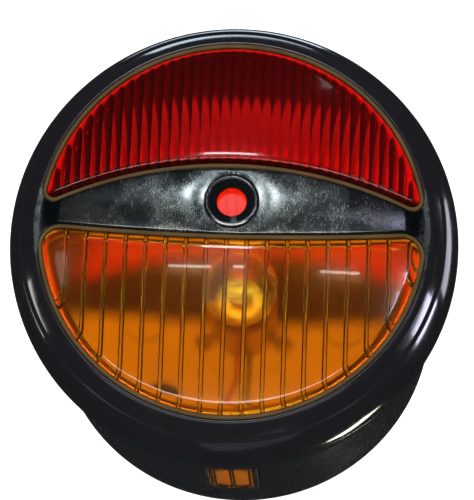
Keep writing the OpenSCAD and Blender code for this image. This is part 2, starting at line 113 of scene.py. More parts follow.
class Window:
    """A window between the bezel's round edge and one curved edge of the crossbar.

    It is drawn above the bar; up = -1 turns it over for the lower window."""

    def __init__(self, edge, edge_r, corner, up):
        self.edge_r, self.corner, self.up = edge_r, corner, up
        self.edge_c = edge - edge_r
        inner, outer = WINDOW_R - corner, edge_r + corner
        self.fz = (inner ** 2 + self.edge_c ** 2 - outer ** 2) / (2 * self.edge_c)
        self.fx = math.sqrt(inner ** 2 - self.fz ** 2)
        self.a = math.atan2(self.fz, self.fx)
        self.b = math.atan2(self.fz - self.edge_c, self.fx)

    def half_width(self, inset):
        return self.fx + self.corner - inset

    def span(self, x, inset):
        """Lowest and highest z of the window at x, once it is shrunk by inset."""
        u = min(abs(x), self.half_width(inset))
        rim, edge, corner = WINDOW_R - inset, self.edge_r + inset, self.corner - inset
        fillet = math.sqrt(max(corner ** 2 - (u - self.fx) ** 2, 0.0))
        top = math.sqrt(rim ** 2 - u * u) if u <= rim * math.cos(self.a) else self.fz + fillet
        if u <= edge * math.cos(self.b):
            low = self.edge_c + math.sqrt(edge ** 2 - u * u)
        else:
            low = self.fz - fillet
        return (low, top) if self.up > 0 else (-top, -low)

    def depth(self, x, z):
        """How far a point lies inside the window's edge."""
        u, v = abs(x), z * self.up
        angle = math.atan2(v - self.fz, u - self.fx)
        if self.b - math.pi <= angle <= self.a:
            return self.corner - math.hypot(u - self.fx, v - self.fz)
        return min(WINDOW_R - math.hypot(u, v), math.hypot(u, v - self.edge_c) - self.edge_r)

    def outline(self, inset, steps=160):
        """Closed outline as (x, z) points, evenly spaced along its length."""
        def arc(cx, cz, r, start, end, count):
            return [(cx + r * math.cos(start + (end - start) * i / count),
                     cz + r * math.sin(start + (end - start) * i / count)) for i in range(count)]

        rim, edge, corner = WINDOW_R - inset, self.edge_r + inset, self.corner - inset
        full = 2 * math.pi
        points = arc(0, 0, rim, self.a, math.pi - self.a, 400)
        points += arc(-self.fx, self.fz, corner, math.pi - self.a, full - self.b, 60)
        points += arc(0, self.edge_c, edge, math.pi - self.b, self.b, 260)
        points += arc(self.fx, self.fz, corner, math.pi + self.b, full + self.a, 60)
        lengths = [0.0]
        for p, q in zip(points, points[1:] + points[:1]):
            lengths.append(lengths[-1] + math.dist(p, q))
        result, at = [], 0
        for i in range(steps):
            target = lengths[-1] * i / steps
            while lengths[at + 1] < target:
                at += 1
            p, q = points[at], points[(at + 1) % len(points)]
            t = (target - lengths[at]) / (lengths[at + 1] - lengths[at])
            result.append((p[0] + t * (q[0] - p[0]), (p[1] + t * (q[1] - p[1])) * self.up))
        return result


RED_WINDOW = Window(BAR_TOP_Z, 100.0, 2.8, 1)
AMBER_WINDOW = Window(-BAR_BOTTOM_Z, 330.0, 5.0, -1)

# ------------------------------------------------------------------ mesh helpers


def new_piece(name, points, faces, materials, body, replaces=(), sharp=35, face_slots=None):
    """A mesh from millimetre points, shaded smooth across edges flatter than sharp degrees."""
    mesh = bpy.data.meshes.new(name)
    mesh.from_pydata([(x * MM, y * MM, z * MM) for x, y, z in points], [], faces)
    for material in materials:
        mesh.materials.append(material)
    if face_slots:
        mesh.polygons.foreach_set("material_index", face_slots)
    mesh.validate()
    for polygon in mesh.polygons:
        polygon.use_smooth = True
    weld(mesh)
    piece = bpy.data.objects.new(name, mesh)
    bpy.context.scene.collection.objects.link(piece)
    mesh.set_sharp_from_angle(angle=math.radians(sharp))
    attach(piece, body)
    if replaces:
        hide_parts(*replaces)
    return piece


def weld(mesh):
    """Merges points that lie on each other and turns every face outwards."""
    work = bmesh.new()
    work.from_mesh(mesh)
    bmesh.ops.remove_doubles(work, verts=work.verts, dist=1e-6)
    bmesh.ops.recalc_face_normals(work, faces=work.faces)
    work.to_mesh(mesh)
    work.free()


def grid_faces(rows, columns, start=0, wrap_rows=False, wrap_columns=False):
    """Quads of a grid whose point (i, j) is number start + i * columns + j."""
    faces = []
    for i in range(rows if wrap_rows else rows - 1):
        for j in range(columns if wrap_columns else columns - 1):
            k, m = (i + 1) % rows, (j + 1) % columns
            faces.append([start + i * columns + j, start + i * columns + m,
                          start + k * columns + m, start + k * columns + j])
    return faces


def slab_faces(n, m):
    """Faces of a front and a back grid of n by m points each, and the faces that join them."""
    sheets = grid_faces(n, m) + grid_faces(n, m, n * m)
    edge = [(i, 0) for i in range(n)] + [(n - 1, j) for j in range(1, m)]
    edge += [(i, m - 1) for i in range(n - 2, -1, -1)] + [(0, j) for j in range(m - 2, 0, -1)]
    sides = [[a * m + b, c * m + d, n * m + c * m + d, n * m + a * m + b]
             for (a, b), (c, d) in zip(edge, edge[1:] + edge[:1])]
    return sheets, sides


def quarter_round(inside, width, height):
    """How far a surface drops below its top near an edge that is rounded over a width."""
    t = min(max(inside, 0.0) / width, 1.0)
    return height * (1 - math.sqrt(max(0.0, 1 - (1 - t) ** 2)))


def round_corners(section, radius, steps=4):
    """A closed section with its corners cut back and rounded, unless their sides are short."""
    result = []
    count = len(section)
    for i, (x, y) in enumerate(section):
        here = Vector((x, y))
        into, out = here - Vector(section[i - 1]), Vector(section[(i + 1) % count]) - here
        if into.length < 1e-6 or out.length < 1e-6:
            result.append((x, y))
            continue
        turn = abs(into.angle_signed(out))
        cut = min(radius * math.tan(turn / 2), into.length * 0.45, out.length * 0.45)
        if turn < math.radians(12) or cut < 1e-3:
            result.append((x, y))
            continue
        start, end = here - into.normalized() * cut, here + out.normalized() * cut
        for s in range(steps + 1):
            t = s / steps
            point = start * (1 - t) ** 2 + here * (2 * t * (1 - t)) + end * t ** 2
            result.append((point.x, point.y))
    return result


def lathe(section, steps, x=0.0, z=0.0, closed=True):
    """Points and faces of a section of (radius, y) turned about a line along Y."""
    points = []
    for i in range(steps):
        turn = 2 * math.pi * i / steps
        for radius, y in section:
            points.append((x + radius * math.cos(turn), y, z + radius * math.sin(turn)))
    return points, grid_faces(steps, len(section), wrap_rows=True, wrap_columns=closed)


def join(*parts):
    """Several (points, faces) as one."""
    points, faces = [], []
    for more_points, more_faces in parts:
        start = len(points)
        points += more_points
        faces += [[start + i for i in face] for face in more_faces]
    return points, faces


def arc_points(cx, cy, r, start, end, count):
    """count + 1 points along an arc, with its angles in degrees."""
    return [(cx + r * math.cos(math.radians(start + (end - start) * i / count)),
             cy + r * math.sin(math.radians(start + (end - start) * i / count)))
            for i in range(count + 1)]


def smooth_step(t):
    t = min(max(t, 0.0), 1.0)
    return t * t * (3 - 2 * t)


# ------------------------------------------------------------------ materials


class Nodes:
    """Short names for the shader nodes that the materials below use."""

    def __init__(self, name):
        self.material = bpy.data.materials.new(name)
        self.material.use_nodes = True
        self.tree = self.material.node_tree
        self.tree.nodes.clear()
        self.out = self.tree.nodes.new("ShaderNodeOutputMaterial")
        self.where = self.tree.nodes.new("ShaderNodeTexCoord").outputs["Object"]

    def add(self, kind, **values):
        node = self.tree.nodes.new(kind)
        for key, value in values.items():
            if hasattr(node, key):
                setattr(node, key, value)
            else:
                node.inputs[key.replace("_", " ")].default_value = value
        return node

    def link(self, a, b):
        self.tree.links.new(a, b)

    def scaled(self, scale):
        """Object coordinates stretched by a factor or a triple of factors."""
        node = self.add("ShaderNodeVectorMath", operation="MULTIPLY")
        node.inputs[1].default_value = scale if isinstance(scale, tuple) else (scale,) * 3
        self.link(self.where, node.inputs[0])
        return node.outputs[0]

    def noise(self, scale, detail=3.0, rough=0.55, stretch=None):
        node = self.add("ShaderNodeTexNoise", Scale=scale, Detail=detail, Roughness=rough)
        self.link(self.scaled(stretch) if stretch else self.where, node.inputs["Vector"])
        return node.outputs["Fac"]

    def ramp(self, value, *stops):
        """Colour ramp with (position, colour or grey) stops."""
        node = self.add("ShaderNodeValToRGB")
        ramp = node.color_ramp
        while len(ramp.elements) < len(stops):
            ramp.elements.new(0.5)
        for element, (position, colour) in zip(ramp.elements, stops):
            element.position = position
            grey = (colour,) * 3 if isinstance(colour, (int, float)) else colour
            element.color = (*grey, 1.0)
        self.link(value, node.inputs["Fac"])
        return node.outputs["Color"]

    def mix(self, factor, a, b):
        """Mixes two colours; each may be a socket or a colour."""
        node = self.tree.nodes.new("ShaderNodeMix")
        node.data_type = "RGBA"
        for socket, value in ((node.inputs[0], factor), (node.inputs[6], a), (node.inputs[7], b)):
            self.feed(socket, value)
        return node.outputs[2]

    def math(self, operation, a, b=0.0):
        node = self.add("ShaderNodeMath", operation=operation)
        for socket, value in zip(node.inputs, (a, b)):
            self.feed(socket, value)
        return node.outputs[0]

    def bump(self, height, strength, distance_mm, after=None):
        node = self.add("ShaderNodeBump", Strength=strength, Distance=distance_mm * MM)
        self.link(height, node.inputs["Height"])
        if after:
            self.link(after, node.inputs["Normal"])
        return node.outputs["Normal"]

    def feed(self, socket, value):
        """Links a socket, or sets a colour or a number."""
        if isinstance(value, bpy.types.NodeSocket):
            self.link(value, socket)
        else:
            socket.default_value = (*value, 1.0) if isinstance(value, tuple) else value

    def surface(self, colour, roughness, normal=None, **values):
        """A Principled surface; colour and roughness may be sockets or numbers."""
        shader = self.tree.nodes.new("ShaderNodeBsdfPrincipled")
        self.feed(shader.inputs["Base Color"], colour)
        self.feed(shader.inputs["Roughness"], roughness)
        for name, value in values.items():
            self.feed(shader.inputs[name.replace("_", " ")], value)
        if normal:
            self.link(normal, shader.inputs["Normal"])
        self.link(shader.outputs[0], self.out.inputs["Surface"])
        return self.material


def enamel(name, colour, roughness=0.1):
    """Stove enamel: deep gloss with a faint orange peel, dust and hairline scratches."""
    n = Nodes(name)
    peel = n.noise(420.0, 4.0, 0.6)
    dust = n.noise(2600.0, 4.0, 0.7)
    patches = n.noise(60.0, 4.0)
    scratches = n.noise(1400.0, 2.0, 0.5, stretch=(1.0, 1.0, 0.04))
    base = n.mix(n.ramp(dust, (0.66, 0.0), (0.78, 1.0)), colour,
                 tuple(min(1.0, c * 2.2 + 0.02) for c in colour))
    rough = n.math("ADD", n.ramp(patches, (0.35, roughness), (0.75, roughness + 0.12)),
                   n.ramp(scratches, (0.62, 0.0), (0.7, 0.12)))
    normal = n.bump(peel, 0.12, 0.08, n.bump(scratches, 0.05, 0.02))
    return n.surface(base, rough, normal, Specular_IOR_Level=0.55, Coat_Weight=0.35,
                     Coat_Roughness=0.05)


def worn_plating(name):
    """Old plating: bright metal with fine scratches and pits, darker in cloudy patches towards its
    ends.
    """
    n = Nodes(name)
    hairs = n.noise(2600.0, 3.0, 0.6, stretch=(0.25, 1.0, 1.0))
    cross = n.noise(3000.0, 3.0, 0.6, stretch=(1.0, 1.0, 0.3))
    pits = n.noise(3400.0, 4.0, 0.75)
    clouds = n.noise(160.0, 6.0, 0.7)
    dents = n.noise(330.0, 3.0, 0.5)
    split = n.add("ShaderNodeSeparateXYZ")
    n.link(n.where, split.inputs[0])
    ends = n.ramp(n.math("ABSOLUTE", n.math("MULTIPLY", split.outputs["X"], 1 / 0.044)),
                  (0.5, 0.0), (0.97, 1.0))
    # the metal darkens towards both ends of the bar, in cloudy patches
    darker_ends = n.math("MULTIPLY", n.ramp(clouds, (0.36, 0.35), (0.6, 1.0)), ends)
    speckle = n.ramp(pits, (0.56, 0.0), (0.66, 1.0))
    metal = n.mix(n.ramp(clouds, (0.4, 0.0), (0.62, 1.0)), (0.24, 0.29, 0.3), (0.52, 0.56, 0.56))
    dull = n.mix(darker_ends, metal, (0.02, 0.02, 0.022))
    base = n.mix(speckle, dull, (0.1, 0.1, 0.1))
    rough = n.math("ADD", n.ramp(clouds, (0.4, 0.16), (0.65, 0.26)),
                   n.ramp(cross, (0.58, 0.0), (0.7, 0.15)))
    normal = n.bump(hairs, 0.22, 0.02, n.bump(pits, 0.14, 0.03, n.bump(dents, 0.14, 0.08)))
    return n.surface(base, rough, normal, Metallic=1.0)


def metal(name, colour, roughness=0.3, grain=(1.0, 1.0, 1.0), wear=0.25, metallic=0.75):
    n = Nodes(name)
    clouds = n.noise(220.0, 4.0)
    fine = n.noise(1900.0, 3.0, 0.6, stretch=grain)
    base = n.mix(n.ramp(clouds, (0.35, 0.0), (0.75, wear)), colour, tuple(c * 0.35 for c in colour))
    rough = n.ramp(fine, (0.3, roughness * 0.7), (0.75, roughness * 1.4))
    return n.surface(base, rough, n.bump(fine, 0.12, 0.02), Metallic=metallic)


def plastic(name, colour, roughness=0.4, grain=1200.0, depth=0.1):
    n = Nodes(name)
    clouds = n.noise(150.0, 3.0)
    fine = n.noise(grain, 4.0, 0.6)
    base = n.mix(n.ramp(clouds, (0.35, 0.0), (0.75, 1.0)), colour, tuple(c * 0.6 for c in colour))
    rough = n.ramp(fine, (0.3, roughness * 0.85), (0.75, min(1.0, roughness * 1.2)))
    return n.surface(base, rough, n.bump(fine, depth, 0.05))


def inner_paint(name, start=None):
    """Old white paint. Inside the drum it starts behind the open front, whose black is painted
    shade for the shadow of the bezel's lip.
    """
    n = Nodes(name)
    clouds = n.noise(45.0, 5.0, 0.6)
    fine = n.noise(800.0, 3.0)
    base = n.mix(n.ramp(clouds, (0.3, 0.0), (0.75, 1.0)), (0.62, 0.6, 0.52), (0.48, 0.44, 0.34))
    if start is not None:
        split = n.add("ShaderNodeSeparateXYZ")
        n.link(n.where, split.inputs[0])
        wavy = n.math("ADD", split.outputs["Y"], n.math("MULTIPLY", clouds, 3 * MM))
        painted = n.math("MULTIPLY", n.math("SUBTRACT", wavy, (start - 2.5) * MM), 1 / (6 * MM))
        # painted shade: the drum's open front is black where the bezel's lip shades it, and the
        # white paint starts behind it
        base = n.mix(n.ramp(painted, (0.1, 0.0), (0.9, 1.0)), (0.012, 0.012, 0.013), base)
    return n.surface(base, n.ramp(fine, (0.3, 0.35), (0.8, 0.6)), n.bump(fine, 0.1, 0.05))


def tinted_glass(name, colour, roughness=0.02, bubbles=0.03, clear=None, coat=0.0, ior=1.5):
    """Pressed glass: it refracts what is seen through it, and tints light that crosses it."""
    n = Nodes(name)
    waves = n.noise(140.0, 3.0)
    seeds = n.noise(1700.0, 2.0)
    normal = n.bump(waves, bubbles, 0.25, n.bump(seeds, bubbles * 0.6, 0.03))
    body = n.add("ShaderNodeBsdfPrincipled")
    body.inputs["Base Color"].default_value = (*colour, 1.0)
    body.inputs["Roughness"].default_value = roughness
    body.inputs["Transmission Weight"].default_value = 1.0
    body.inputs["IOR"].default_value = ior
    body.inputs["Coat Weight"].default_value = coat
    body.inputs["Coat Roughness"].default_value = 0.015
    n.link(normal, body.inputs["Normal"])
    through = n.add("ShaderNodeBsdfTransparent")
    through.inputs["Color"].default_value = (*(clear or colour), 1.0)
    path = n.add("ShaderNodeLightPath")
    light = n.math("MAXIMUM", path.outputs["Is Shadow Ray"], path.outputs["Is Diffuse Ray"])
    mix = n.add("ShaderNodeMixShader")
    n.link(light, mix.inputs[0])
    n.link(body.outputs[0], mix.inputs[1])
    n.link(through.outputs[0], mix.inputs[2])
    n.link(mix.outputs[0], n.out.inputs["Surface"])
    return n.material


GLOSS = enamel("bezel_enamel", (0.006, 0.006, 0.008), 0.09)
BLACK = enamel("drum_enamel", (0.009, 0.009, 0.011), 0.16)
WHITE = inner_paint("inner_paint")
# drum lining: white paint behind a band of painted shade at the open front
LINING_AND_SHADE = inner_paint("drum_lining_and_shade", RIM + 33)
OPAL = plastic("opal_bead", (0.95, 0.93, 0.85), 0.3, 500.0, 0.02)
PLATING = worn_plating("crossbar_plating")
NICKEL = metal("eyelet_nickel", (0.34, 0.35, 0.37), 0.14, metallic=1.0)
RED_GLASS = tinted_glass("red_glass", (0.88, 0.012, 0.016), 0.1, 0.02, (0.9, 0.07, 0.04), 1.0)
RED_PANE = tinted_glass("thin_red_glass", (0.95, 0.09, 0.04), 0.1, 0.02, (0.9, 0.1, 0.05), ior=1.2)
AMBER_GLASS = tinted_glass("amber_glass", (0.93, 0.56, 0.03), 0.1, 0.02, (0.94, 0.62, 0.08), 1.0)
YELLOW_GLASS = tinted_glass("yellow_glass", (0.98, 0.66, 0.16))
CLEAR_GLASS = tinted_glass("bulb_glass", (0.98, 0.98, 0.96), bubbles=0.0)
GASKET = plastic("gasket_rubber", (0.065, 0.042, 0.016), 0.5, 2200.0, 0.25)
RUBBER = plastic("black_rubber", (0.02, 0.02, 0.021), 0.75, 1800.0, 0.3)
SPRING = metal("spring_steel", (0.5, 0.51, 0.53), 0.3)
ZINC = metal("zinc_plate", (0.6, 0.61, 0.63), 0.35)
DARK_STEEL = metal("dark_steel", (0.07, 0.07, 0.075), 0.45)
BRASS = metal("aged_brass", (0.75, 0.53, 0.22), 0.3, wear=0.5)
SOLDER = metal("solder", (0.6, 0.61, 0.62), 0.35)
TUNGSTEN = metal("tungsten", (0.3, 0.3, 0.31), 0.5)
PHENOLIC = plastic("brown_phenolic", (0.1, 0.035, 0.015), 0.3, 500.0)
VITRITE = plastic("black_glass", (0.012, 0.012, 0.016), 0.1, 300.0, 0.02)
LEAD_RED = plastic("red_lead", (0.3, 0.03, 0.02), 0.5)
LEAD_BLUE = plastic("blue_lead", (0.03, 0.07, 0.2), 0.5)
LEAD_BLACK = plastic("black_lead", (0.015, 0.015, 0.015), 0.5)

# ------------------------------------------------------------------ door


def bezel():
    """The black door ring: back skirt, rolled bead, broad bead, crease and conical flange."""
    centre = BEZEL_R - BEAD_R
    outer_end = math.degrees(math.asin(10.2 / BEAD_R))
    inner_r = BEAD_R - SHEET
    inner_end = math.degrees(math.asin(9.3 / inner_r))
    skirt = BEZEL_R - 0.6
    front = [(skirt - SHEET, RIM + 8), (skirt, RIM + 8), (skirt, RIM + 1.9), (BEZEL_R, RIM + 1.6)]
    front = round_corners(front + [(BEZEL_R, RIM), (skirt - SHEET, RIM)], 0.35)[:-6]
    bead = arc_points(centre, RIM, BEAD_R, 0, -outer_end, 60)
    flange = [(47.55, RIM - 10.3), (47.25, RIM - 10.35), (47.0, RIM - 10.7), (45.6, RIM - 12.6),
              (45.1, RIM - 13.15), (44.5, RIM - 13.48), (43.9, RIM - 13.6), (43.5, RIM - 13.5),
              (43.3, RIM - 13.2), (43.35, RIM - 12.8), (45.0, RIM - 12.7), (46.6, RIM - 10.6)]
    inside = arc_points(centre, RIM, inner_r, -inner_end, 0, 40)
    section = front + bead + flange + inside + [(skirt - SHEET, RIM)]
    points, faces = lathe(section, 360)
    return new_piece("bezel_ring", points, faces, [GLOSS], "door", ["bezel"],
                     sharp=50)


def bar_front_y(x, z):
    """The crossbar's front: a slice of a torus, faired into the window edge at its ends."""
    mid = (BAR_TOP_Z + BAR_BOTTOM_Z) / 2
    ring = DOME_R + BAR_FRONT - BAR_BULGE_R
    across = ring + math.sqrt(BAR_BULGE_R ** 2 - (z - mid) ** 2)
    torus = DOME_Y - math.sqrt(across ** 2 - x * x)
    end = smooth_step((math.hypot(x, z) - 38.5) / 4.6)
    dish = 0.32 * math.exp(-((math.hypot(x, z - HOLE_Z) - EYELET_R) / 2.6) ** 2)
    return torus * (1 - end) + (LIP - 0.04) * end + dish


def crossbar():
    """Pressed strip between the windows, with rolled edges and ends that flare into the ring."""
    steps, across = 260, 44
    roll = 0.55
    points, rows = [], []
    for i in range(steps + 1):
        x = BAR_END_R * math.sin(math.pi / 2 * (2 * i / steps - 1)) * 0.9995
        clip = math.sqrt(BAR_END_R ** 2 - x * x)
        red = RED_WINDOW.span(x, 0)[0] if abs(x) < RED_WINDOW.half_width(0) else clip
        amber = AMBER_WINDOW.span(x, 0)[1] if abs(x) < AMBER_WINDOW.half_width(0) else -clip
        high, low = min(red, clip), max(amber, -clip)
        middle = (high + low) / 2
        width = max(high - low, 0.02)
        rolled = min(roll, width * 0.2)
        row = []
        for j in range(across + 1):
            z = low + width * (0.5 - 0.5 * math.cos(math.pi * j / across))
            near = min(z - low, high - z)
            drop = quarter_round(near, rolled, rolled)
            row.append((x, bar_front_y(x, z) + drop, z))
        back_y = bar_front_y(x, middle) + SHEET + 0.35
        row.append((x, max(row[-1][1], back_y), row[-1][2]))
        row.append((x, back_y, middle))
        row.append((x, max(row[0][1], back_y), row[0][2]))
        rows.append(row)
    columns = len(rows[0])
    points = [p for row in rows for p in row]
    faces = grid_faces(steps + 1, columns, wrap_columns=True)
    faces.append(list(range(columns)))
    faces.append([steps * columns + j for j in range(columns)])
    piece = new_piece("crossbar_strip", points, faces, [PLATING], "door",
                      ["crossbar"], sharp=60)
    cut_hole(piece, EYELET_TUBE_R + 0.02, 0.0, HOLE_Z, LIP - 8, LIP + 4)
    return piece


def cut_hole(piece, radius, x, z, y0, y1):
    """Cuts a round hole along Y through a piece."""
    ring, faces = lathe([(0.0, y0), (radius, y0), (radius, y1), (0.0, y1)], 96, x, z, closed=False)
    mesh = bpy.data.meshes.new("hole_cutter")
    mesh.from_pydata([(a * MM, b * MM, c * MM) for a, b, c in ring], [], faces)
    weld(mesh)
    cutter = bpy.data.objects.new("hole_cutter", mesh)
    bpy.context.scene.collection.objects.link(cutter)
    boolean = piece.modifiers.new("hole", "BOOLEAN")
    boolean.operation, boolean.solver, boolean.object = "DIFFERENCE", "EXACT", cutter
    bpy.context.view_layer.objects.active = piece
    bpy.ops.object.modifier_apply(modifier="hole")
    bpy.data.objects.remove(cutter)


def eyelet():
    """Turned eyelet in the crossbar's hole."""
    apex = eyelet_low.y + 0.7
    section = [(3.3, apex + 1.6), (3.3, apex + 0.45), (4.85, apex - 0.45), (5.1, apex - 0.66),
               (5.55, apex - 0.7), (5.95, apex - 0.6), (EYELET_R, apex - 0.25),
               (EYELET_R, apex + 0.44),
               (EYELET_TUBE_R, apex + 0.44), (EYELET_TUBE_R, apex + 1.6)]
    points, faces = lathe(round_corners(section, 0.25, 5), 128, z=HOLE_Z)
    return new_piece("eyelet_ring", points, faces, [NICKEL], "door", ["eyelet"],
                     sharp=50)


def gasket(name, window, node):
    """Rounded lip around a lens, with a flat flange behind the bezel's edge."""
    steps = 420
    insets = [(-1.1, -SHEET), (-0.2, -SHEET), (0.05, -0.2), (0.08, 0.1), (0.22, 0.26), (0.5, 0.32),
              (0.78, 0.26), (0.93, 0.05), (0.95, -0.4), (0.95, -SHEET - 0.8), (-1.1, -SHEET - 0.8)]
    loops = []
    for inset, proud in insets:
        loop = window.outline(inset, steps)
        loops.append([(x, dome(x, z, proud), z) for x, z in loop])
    points = [loops[j][i] for i in range(steps) for j in range(len(insets))]
    faces = grid_faces(steps, len(insets), wrap_rows=True, wrap_columns=True)
    return new_piece(name, points, faces, [GASKET], "door", [node], sharp=50)


def round_rib(x, pitch, half, height):
    """Height at x of round-topped ribs that stand one pitch apart."""
    u = (x + pitch / 2) % pitch - pitch / 2
    return height * math.sqrt(max(0.0, 1 - (u / half) ** 2)) if abs(u) < half else 0.0


def amber_rib(x):
    """Height of the narrow round-topped ribs on the amber lens's back."""
    return round_rib(x + AMBER_SHIFT, AMBER_PITCH, AMBER_RIB_HALF, 0.6)


def red_rib(x):
    """Height of the close-set round flutes on the red lens's back."""
    u = ((x + RED_PITCH / 2) % RED_PITCH) / RED_PITCH - 0.5
    return 0.3 * (1 - (2 * u) ** 2)


def rib_columns(half_width, pitch, shift, samples):
    """x positions with the same samples in every pitch, given as offsets from a rib's middle."""
    columns = {-half_width, half_width}
    count = int(half_width / pitch) + 2
    for k in range(-count, count + 1):
        for offset in samples:
            x = k * pitch - shift + offset
            if abs(x) < half_width - 0.05:
                columns.add(round(x, 4))
    ends = [half_width * math.sin(math.radians(a)) for a in range(72, 90, 2)]
    columns.update(ends + [-x for x in ends])
    return sorted(columns)


def lens_pad(window, rib, columns):
    """One lens: a domed front with a round shoulder, a ribbed back and a dark edge."""
    rows = 34
    shoulder_w, shoulder_h = 2.0, 1.7
    front, back = [], []
    half = window.half_width(LENS_INSET)
    for x in columns:
        x = max(-half + 0.004, min(half - 0.004, x))
        low, high = window.span(x, LENS_INSET)
        for j in range(rows + 1):
            z = low + (high - low) * (0.5 - 0.5 * math.cos(math.pi * j / rows))
            inside = max(window.depth(x, z) - LENS_INSET, 0.0)
            drop = quarter_round(inside, shoulder_w, shoulder_h)
            front.append((x, dome(x, z, LENS_PROUD) + drop, z))
            fade = smooth_step(inside / 1.2)
            back.append((x, dome(x, z, -LENS_BACK) + rib(x) * fade, z))
    sheets, sides = slab_faces(len(columns), rows + 1)
    return front + back, sheets + sides, [0] * len(sheets) + [1] * len(sides)


def ribbed_tongue(half, low, high, rib, step):
    """Ribbed strip of the red lens that runs down behind the crossbar's hole."""
    columns = [-half + step * i for i in range(int(2 * half / step) + 1)]
    rows = 4
    front, back = [], []
    for x in columns:
        for j in range(rows + 1):
            z = low + (high - low) * j / rows
            front.append((x, dome(x, z, -SHEET - 0.8), z))
            back.append((x, dome(x, z, -LENS_BACK) + rib(x), z))
    sheets, sides = slab_faces(len(columns), rows + 1)
    return front + back, sheets + sides


def lenses():
    on_rib = [0.15, 0.3, 0.44, AMBER_RIB_HALF - 0.01, AMBER_RIB_HALF + 0.01]
    samples = [-x for x in on_rib[::-1]] + [0.0] + on_rib + [0.9, 1.6, AMBER_PITCH / 2, 2.9, 3.6]
    columns = rib_columns(AMBER_WINDOW.half_width(LENS_INSET), AMBER_PITCH, AMBER_SHIFT, samples)
    points, faces, slots = lens_pad(AMBER_WINDOW, amber_rib, columns)
    new_piece("amber_lens_glass", points, faces, [AMBER_GLASS, GASKET], "door",
              ["amber_lens"], sharp=40, face_slots=slots)
    samples = [RED_PITCH * i / 10 for i in range(10)]
    columns = rib_columns(RED_WINDOW.half_width(LENS_INSET), RED_PITCH, RED_PITCH / 2, samples)
    pad = lens_pad(RED_WINDOW, red_rib, columns)
    tongue = ribbed_tongue(5 * RED_PITCH, 0.7, 12.6, lambda x: 2 * red_rib(x), RED_PITCH / 10)
    points, faces = join(pad[:2], tongue)
    slots = pad[2] + [2] * len(tongue[1])
    new_piece("red_lens_glass", points, faces, [RED_GLASS, GASKET, RED_PANE], "door",
              ["red_lens"], sharp=40, face_slots=slots)


# ------------------------------------------------------------------ drum


def slot_half_length(x):
    """Half of the number-plate window's length at x."""
    straight = SLOT_HALF_L - SLOT_HALF_W
    return straight + math.sqrt(max(SLOT_HALF_W ** 2 - x * x, 0.0))


def drum():
    """Black drum with a rounded back, painted white inside, and cut for the number-plate window."""
    inner_r = DRUM_R - DRUM_SHEET
    slot_steps = 24
    slot_x = [SLOT_HALF_W * math.sin(math.pi / 2 * (2 * i / slot_steps - 1))
              for i in range(slot_steps + 1)]
    edge_angle = math.asin(SLOT_HALF_W / inner_r) + 0.005
    around = 200
    sweep_angle = 2 * math.pi - 2 * edge_angle
    # each column is (angle outside, angle inside, half length of the slot there), from the bottom
    columns = [(math.asin(x / DRUM_R), math.asin(x / inner_r), slot_half_length(x)) for x in slot_x]
    for i in range(around + 1):
        angle = edge_angle + sweep_angle * i / around
        columns.append((angle, angle, 0.0))
    front_y = [0.0, 0.012, 0.03, 0.25, 0.5, 0.75, 1.0]
    corner_start = DRUM_BACK - DRUM_CORNER

    def wall(radius, which, back, corner):
        rows = []
        for column in columns:
            angle, half = column[which], column[2]
            s, c = math.sin(angle), -math.cos(angle)
            row = []
            for t in front_y:
                row.append((radius, DRUM_FRONT + (SLOT_MID - half - DRUM_FRONT) * t))
            for t in (0.0, 0.25, 0.5, 0.75, 1.0):
                row.append((radius, SLOT_MID + half + (corner_start - SLOT_MID - half) * t))
            for a in range(6, 91, 6):
                row.append((radius - corner + corner * math.cos(math.radians(a)),
                            back - corner + corner * math.sin(math.radians(a))))
            for t in (0.75, 0.5, 0.3, 0.15, 0.0):
                row.append(((radius - corner) * t, back))
            rows.append([(r * s, y, r * c) for r, y in row])
        return rows

    outer = wall(DRUM_R, 0, DRUM_BACK, DRUM_CORNER)
    inner = wall(inner_r, 1, DRUM_BACK - DRUM_SHEET, DRUM_CORNER - DRUM_SHEET)
    n, m = len(columns), len(outer[0])
    points = [p for row in outer for p in row] + [p for row in inner for p in row]
    faces, slots = [], []
    gap = len(front_y) - 1
    for layer in (0, 1):
        for i in range(n):
            k = (i + 1) % n
            for j in range(m - 1):
                if j == gap:
                    continue
                a, b = layer * n * m + i * m + j, layer * n * m + k * m + j
                faces.append([a, a + 1, b + 1, b])
                slots.append(layer)
    for i in range(n):
        k = (i + 1) % n
        faces.append([i * m, k * m, n * m + k * m, n * m + i * m])
        slots.append(0)
    for i in range(slot_steps):
        for j in (gap, gap + 1):
            faces.append([i * m + j, (i + 1) * m + j, n * m + (i + 1) * m + j, n * m + i * m + j])
            slots.append(0)
    return new_piece("drum_shell", points, faces, [BLACK, LINING_AND_SHADE], "housing",
                     ["drum"], sharp=40, face_slots=slots)


def plate_glass():
    """Ribbed golden glass in the drum's underside, with its flange inside the drum."""
    half_w = SLOT_HALF_W - 0.7
    outer_r, inner_r = DRUM_R + 0.3, DRUM_R - DRUM_SHEET - 2.4
    columns = {round(-half_w + 2 * half_w * i / 80, 4) for i in range(81)}
    columns = sorted(columns | {-half_w, half_w})
    rows = 30
    front, back = [], []
    for x in columns:
        u = max(-half_w + 0.003, min(half_w - 0.003, x))
        half = SLOT_HALF_L - SLOT_HALF_W + math.sqrt(half_w ** 2 - u * u)
        for j in range(rows + 1):
            y = SLOT_MID - half * math.cos(math.pi * j / rows)
            straight = SLOT_HALF_L - SLOT_HALF_W
            inside = half_w - math.hypot(u, max(abs(y - SLOT_MID) - straight, 0.0))
            drop = quarter_round(inside, 0.9, 0.8)
            front.append((u, y, -math.sqrt(outer_r ** 2 - u * u) + drop))
            ribs = round_rib(u, 4.1, 0.5, 0.55) * smooth_step(inside / 0.8)
            back.append((u, y, -math.sqrt(inner_r ** 2 - u * u) + ribs))
    sheets, sides = slab_faces(len(columns), rows + 1)
    return new_piece("plate_window_glass", front + back, sheets + sides, [YELLOW_GLASS], "housing",
                     ["plate_window"], sharp=40)


# ------------------------------------------------------------------ bulb


